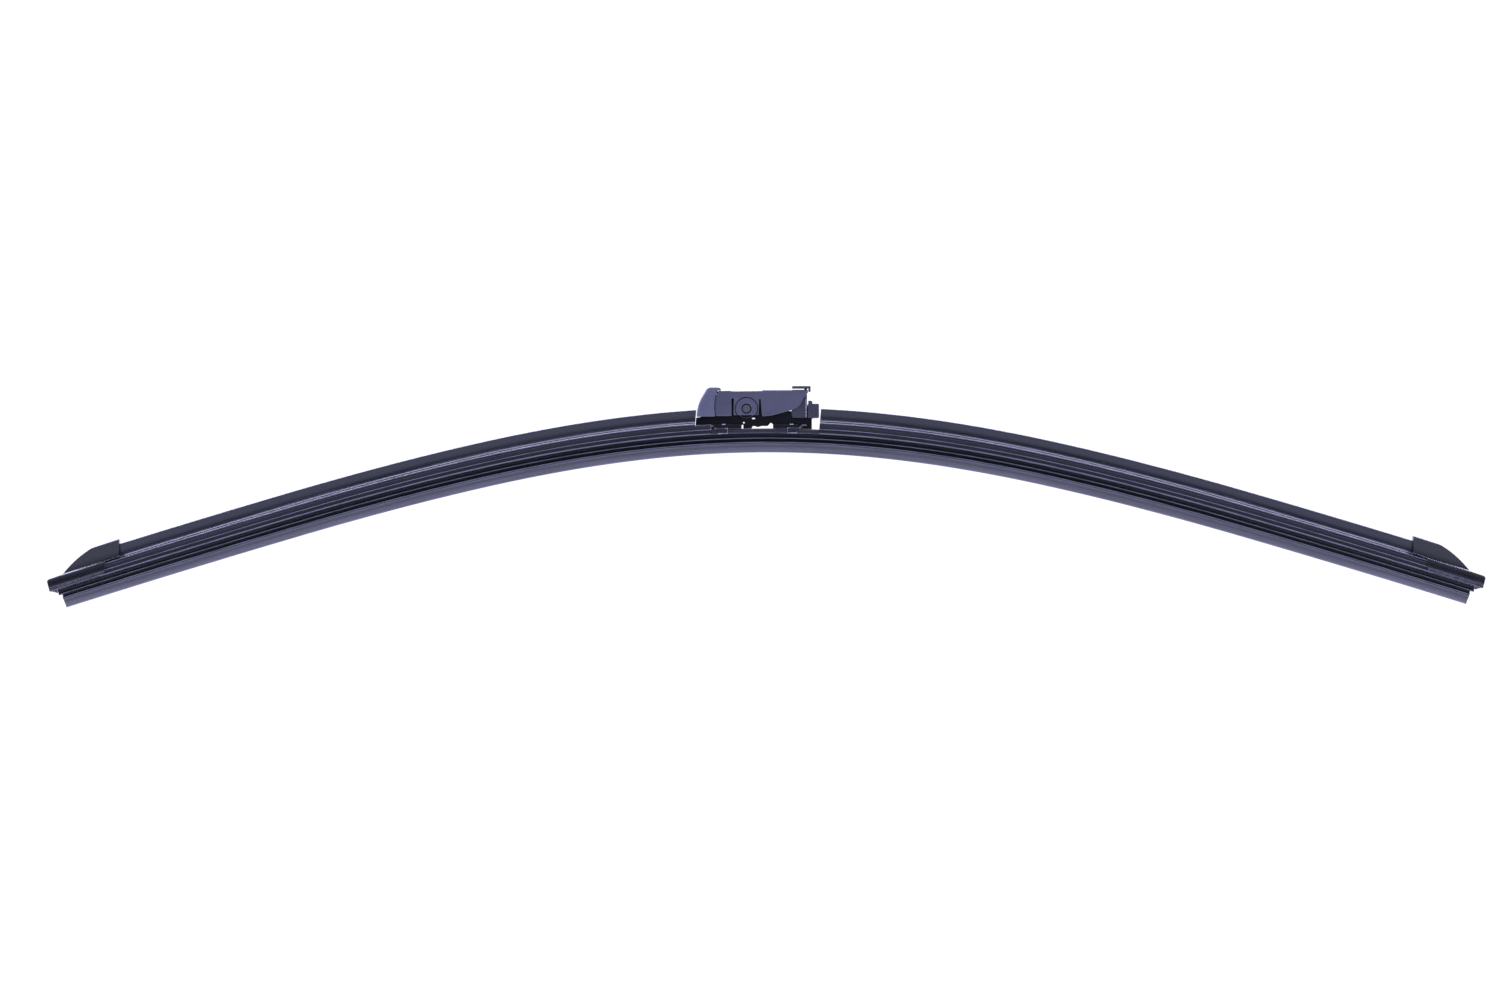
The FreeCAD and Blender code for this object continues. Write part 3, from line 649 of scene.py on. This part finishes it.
def coil_spring(node):
    """Wound wire with closed ends, in the latch spring's place."""
    low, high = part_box(node)
    radius = SPRING_WIRE * MM
    coil = (high[0] - low[0]) / 2 - radius
    middle = (Vector(low) + Vector(high)) / 2
    count = int(SPRING_TURNS * STEPS_PER_TURN)
    rising = SPRING_TURNS - 2 * SPRING_CLOSED
    verts = []
    for step in range(count + 1):
        f = step / count
        angle = 2 * math.pi * SPRING_TURNS * f
        rise = min(1.0, max(0.0, (f * SPRING_TURNS - SPRING_CLOSED) / rising))
        climb = low[2] + radius + (high[2] - low[2] - 2 * radius) * rise
        outward = Vector((math.cos(angle), math.sin(angle), 0))
        centre = Vector((middle.x, middle.y, climb)) + outward * coil
        for k in range(WIRE_SIDES):
            turn = 2 * math.pi * k / WIRE_SIDES
            lift = Vector((0, 0, radius * math.sin(turn)))
            verts.append(centre + outward * (radius * math.cos(turn)) + lift)
    mesh = bpy.data.meshes.new("latch_spring_fine")
    mesh.from_pydata(verts, [], tube_faces(count, WIRE_SIDES))
    spring = finished("latch_spring_fine", mesh, BRIGHT_STEEL, body_of(node), (node,),
                      WIRE_SHARP)
    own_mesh(spring)


def latch_leaf(side, name):
    """Thin steel leaf with a peaked top, on the outside of one of the latch's rear legs."""
    work = bmesh.new()
    rows = [
        [work.verts.new(((x - PIVOT_X) * MM, side * y * MM, (z - PIVOT_Z) * MM)) for x, z in LEAF_OUTLINE]
        for y in LEAF_FACES
    ]
    count = len(LEAF_OUTLINE)
    for k in range(count):
        work.faces.new((rows[0][k], rows[0][(k + 1) % count], rows[1][(k + 1) % count], rows[1][k]))
    for row in rows:
        work.faces.new(row)
    bmesh.ops.bevel(work, geom=edges_to_round(work), offset=LEAF_EDGE * MM, segments=2, profile=0.5,
                    affect="EDGES")
    mesh = bpy.data.meshes.new(name)
    work.to_mesh(mesh)
    work.free()
    return finished(name, mesh, BRIGHT_STEEL, body_of("release_latch"), (), SMALL_SHARP)


def pivot_pin(node):
    """The pin with a turned groove and a countersunk centre in each end face."""
    low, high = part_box(node)
    radius = (high[2] - low[2]) / 2 / MM
    half = (high[1] - low[1]) / 2 / MM
    rim = PIN_PROFILE[0][0]
    profile = [(r * radius / rim, half + depth) for r, depth in PIN_PROFILE]
    outline = [(r, -y) for r, y in reversed(profile)] + profile
    turns = [2 * math.pi * k / PIN_STEPS for k in range(PIN_STEPS)]
    verts = [
        (r * MM * math.cos(turn), y * MM, r * MM * math.sin(turn))
        for r, y in outline
        for turn in turns
    ]
    mesh = bpy.data.meshes.new("pivot_pin_fine")
    mesh.from_pydata(verts, [], tube_faces(len(outline) - 1, PIN_STEPS))
    return finished("pivot_pin_fine", mesh, PIN, body_of(node), (node,), SMALL_SHARP)


# ---- the pieces ---------------------------------------------------------------------------

sweep("wiper_rubber_fine", both_halves(rounded(RUBBER_LIP + RUBBER_HEAD)), -HALF_LENGTH, HALF_LENGTH,
      RUBBER, "wiping_rubber", "blade", ("wiper_rubber",))
for side, name in ((-1, "left"), (1, "right")):
    sweep("rubber_head_" + name, both_halves(rounded([(0, RUBBER_HEAD[0][1], 0)] + RUBBER_HEAD)),
          *sorted((side * HALF_LENGTH, side * HEAD_END)), RUBBER, "wiping_rubber", "blade")

FIN_LOOP = spoiler_loop(True)
BASE_LOOP = spoiler_loop(False)
LEFT_FIN_END = LEFT_FIN_CUT[0][0]
RIGHT_FIN_END = RIGHT_FIN_CUT[0][0]
sweep("spoiler_left_fine", FIN_LOOP, -SPOILER_END, LEFT_FIN_END + CUT_SPARE,
      SPOILER, "spoiler_elastomer", "blade", ("spoiler_left",), LEFT_FIN_CUT, -1)
sweep("spoiler_left_base_fine", BASE_LOOP, LEFT_FIN_END - BASE_SPARE, LEFT_BASE_END,
      SPOILER, "spoiler_elastomer", "blade", (), LEFT_FIN_CUT, 1)
sweep("spoiler_right_fine", FIN_LOOP, RIGHT_FIN_END - CUT_SPARE, SPOILER_END,
      SPOILER, "spoiler_elastomer", "blade", ("spoiler_right",), RIGHT_FIN_CUT, 1)

for node, width, material, slot in (
    ("end_cap_left", 0.16, CAP, "satin_plastic"),
    ("end_cap_right", 0.16, CAP, "satin_plastic"),
    ("nose_cap", 0.22, NOSE, "matte_plastic"),
    ("adapter_body", 0.22, ADAPTER, "matte_plastic"),
    ("tail_cover", 0.2, TAIL, "matte_plastic"),
    ("release_latch", 0.12, LATCH, "latch_plastic"),
    ("carrier", 0.12, CARRIER, "dark_plastic"),
    ("rail_clamp_left", 0.16, BLACK_STEEL, "black_steel"),
    ("rail_clamp_right", 0.16, BLACK_STEEL, "black_steel"),
    ("spring_rail_front", 0.12, RAIL, "coated_spring_steel"),
    ("spring_rail_rear", 0.12, RAIL, "coated_spring_steel"),
):
    refined(node, width, material)

pivot_pin("pivot_pin")
coil_spring("latch_spring")
for side, name in ((-1, "front"), (1, "rear")):
    latch_leaf(side, "latch_leaf_" + name)

for node, material in (
    ("pivot_bush_front", CARRIER),
    ("pivot_bush_rear", CARRIER),
    ("latch_pin", BRIGHT_STEEL),
    ("carrier_rivets", BRIGHT_STEEL),
    ("end_clip_left", BRIGHT_STEEL),
    ("end_clip_right", BRIGHT_STEEL),
):
    carried = frame["nodes"][node]
    carried.data.materials.clear()
    carried.data.materials.append(material)


# ---- floor, light and camera --------------------------------------------------------------

LIGHT_COLOUR = (0.86, 0.89, 1.25)
BASE_LIGHT = 0.10
SEEN_WHITE = 1.05                # what the camera sees behind everything
LOBE_SQUEEZE = 0.22              # under 1 spreads the lights along the blade
LOBES = (                        # degrees from the camera over the top, inner and outer edge, strength
    (42, 10, 45, 1.22),
    (132, 8, 23, 13.0),
    (175, 10, 32, 1.4),
)
SIDE_LIGHT = 1.6                 # past each end of the blade
SIDE_FADE = (0.72, 0.95)         # how far sideways it starts and is full
TABLE = (0.60, 0.30)             # half size of the table
TABLE_GAP = 0.040                # it is this far below the lip's ends, to clear the rocking blade
TABLE_GLOW = 0.45
GLOW_COLOUR = (0.95, 0.96, 1.15)
VIEW_WIDTH = 0.678               # at the blade's middle plane
VIEW_CENTRE = (0.0015, -0.0412)  # X and Z
CAMERA_ROLL = 0.14               # degrees
LENS = 135.0
SENSOR = 36.0


def floor():
    """Pale table, faintly glowing so that it stays white, below the blade's lowest reach."""
    low = cad_box[0][2] - TABLE_GAP
    mesh = bpy.data.meshes.new("floor")
    x, y = TABLE
    mesh.from_pydata([(-x, -y, low), (x, -y, low), (x, y, low), (-x, y, low)], [], [(0, 1, 2, 3)])
    plane = bpy.data.objects.new("floor", mesh)
    bpy.context.scene.collection.objects.link(plane)
    n = Nodes("pale floor")
    mottle = n.noise((3, 3, 3), 2.0)
    n.shader.inputs["Emission Color"].default_value = (*GLOW_COLOUR, 1.0)
    n.shader.inputs["Emission Strength"].default_value = TABLE_GLOW
    paint = n.mix(mottle, (0.44, 0.44, 0.46), (0.48, 0.48, 0.50))
    n.finish(paint, n.ramp(mottle, 0.3, 0.7, 0.75, 0.85))
    mesh.materials.append(n.material)


def studio():
    """Soft lights over the front, over the back, low behind and past both ends; the camera sees white."""
    world = bpy.data.worlds.new("studio")
    bpy.context.scene.world = world
    world.use_nodes = True
    tree = world.node_tree
    background = tree.nodes["Background"]
    output = tree.nodes["World Output"]

    def add(kind, *links, **values):
        node = tree.nodes.new(kind)
        for key, value in values.items():
            setattr(node, key, value)
        for socket, source in links:
            if isinstance(source, (int, float)):
                node.inputs[socket].default_value = source
            else:
                tree.links.new(source, node.inputs[socket])
        return node

    ray = add("ShaderNodeTexCoord").outputs["Generated"]

    def fade(value, start, stop, strength):
        """0 below start, growing smoothly to the strength at stop."""
        node = add("ShaderNodeMapRange", ("Value", value), ("From Min", start), ("From Max", stop),
                   ("To Min", 0.0), ("To Max", strength), interpolation_type="SMOOTHSTEP")
        return node.outputs["Result"]

    def lobe(aim, inner, outer, strength):
        """Light round a direction, wider along X, full inside one angle to it and gone at another."""
        narrowed = add("ShaderNodeVectorMath", (0, ray), operation="MULTIPLY")
        narrowed.inputs[1].default_value = (LOBE_SQUEEZE, 1.0, 1.0)
        unit = add("ShaderNodeVectorMath", (0, narrowed.outputs["Vector"]), operation="NORMALIZE")
        cosine = add("ShaderNodeVectorMath", (0, unit.outputs["Vector"]), operation="DOT_PRODUCT")
        angle = math.radians(aim)
        cosine.inputs[1].default_value = (0.0, -math.cos(angle), math.sin(angle))
        faint, full = math.cos(math.radians(outer)), math.cos(math.radians(inner))
        return fade(cosine.outputs["Value"], faint, full, strength)

    total = BASE_LIGHT
    for row in LOBES:
        total = add("ShaderNodeMath", (0, total), (1, lobe(*row)), operation="ADD").outputs["Value"]
    parts = add("ShaderNodeSeparateXYZ", (0, ray))
    sideways = add("ShaderNodeMath", (0, parts.outputs["X"]), operation="ABSOLUTE").outputs["Value"]
    ends = fade(sideways, *SIDE_FADE, SIDE_LIGHT)
    total = add("ShaderNodeMath", (0, total), (1, ends), operation="ADD").outputs["Value"]
    background.inputs["Color"].default_value = (*LIGHT_COLOUR, 1.0)
    tree.links.new(total, background.inputs["Strength"])
    seen = add("ShaderNodeBackground")
    seen.inputs["Color"].default_value = (1.0, 1.0, 1.0, 1.0)
    seen.inputs["Strength"].default_value = SEEN_WHITE
    camera_ray = add("ShaderNodeLightPath").outputs["Is Camera Ray"]
    both = add("ShaderNodeMixShader", (0, camera_ray), (1, background.outputs["Background"]),
               (2, seen.outputs["Background"]))
    tree.links.new(both.outputs["Shader"], output.inputs["Surface"])


def photo_camera():
    """Long lens, level with the blade and square to it."""
    camera = bpy.data.objects.new("camera", bpy.data.cameras.new("camera"))
    camera.data.lens = LENS
    camera.data.sensor_width = SENSOR
    x, z = VIEW_CENTRE
    camera.location = (x, -VIEW_WIDTH * LENS / SENSOR, z)
    camera.rotation_euler = (math.radians(90), math.radians(CAMERA_ROLL), 0)
    camera.data.clip_start = 0.05
    camera.data.clip_end = 50.0
    bpy.context.scene.collection.objects.link(camera)
    bpy.context.scene.camera = camera


floor()
studio()
photo_camera()
bpy.context.scene.view_settings.view_transform = "Standard"
